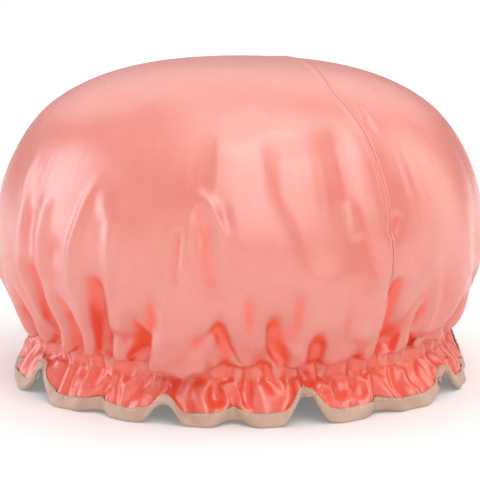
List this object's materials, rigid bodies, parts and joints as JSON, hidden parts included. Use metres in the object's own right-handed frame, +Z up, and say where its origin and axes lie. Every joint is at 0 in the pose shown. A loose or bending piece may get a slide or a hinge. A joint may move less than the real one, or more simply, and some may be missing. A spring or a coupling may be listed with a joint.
{
  "type": "shower cap",
  "caption": "Full round satin shower cap with a waterproof lining, a crown seam, a gathered elastic hem and a fluted ruffle with a bound edge.",
  "frame": {"origin": "middle of the mouth, on the surface that the bound edge stands on", "axes": "+Z up through the crown; the crown seam lies in a plane across +Y, with the smaller side panel beyond it"},
  "size_m": [0.281, 0.2804, 0.186],
  "materials": {
    "satin": "coral satin weave with a soft sheen",
    "lining": "thin waterproof film, translucent off-white",
    "elastic": "knitted elastic",
    "binding": "champagne bias tape, slight sheen",
    "coral_thread": "sewing thread",
    "beige_thread": "sewing thread"
  },
  "bodies": {
    "main": {"outer_main_panel": "satin", "lining_main_panel": "lining", "crown_seam_thread": "coral_thread", "lining_seam_thread": "beige_thread", "elastic_band": "elastic", "channel_upper_needle_thread": "coral_thread", "channel_upper_bobbin_thread": "coral_thread", "channel_lower_needle_thread": "coral_thread", "channel_lower_bobbin_thread": "coral_thread", "edge_binding": "binding", "binding_needle_thread": "beige_thread", "binding_bobbin_thread": "beige_thread"},
    "side": {"outer_side_panel": "satin", "lining_side_panel": "lining"}
  },
  "joints": [
    {"name": "hem_open", "type": "hinge", "parent": "main", "child": "side", "pos_m": [0, 0.046, 0.184], "axis": [1, 0, 0], "range_deg": [0, 16], "stiffness_Nm_per_rad": 1.7, "deforming": ["elastic_band", "channel_upper_needle_thread", "channel_upper_bobbin_thread", "channel_lower_needle_thread", "channel_lower_bobbin_thread", "edge_binding", "binding_needle_thread", "binding_bobbin_thread"]}
  ]
}
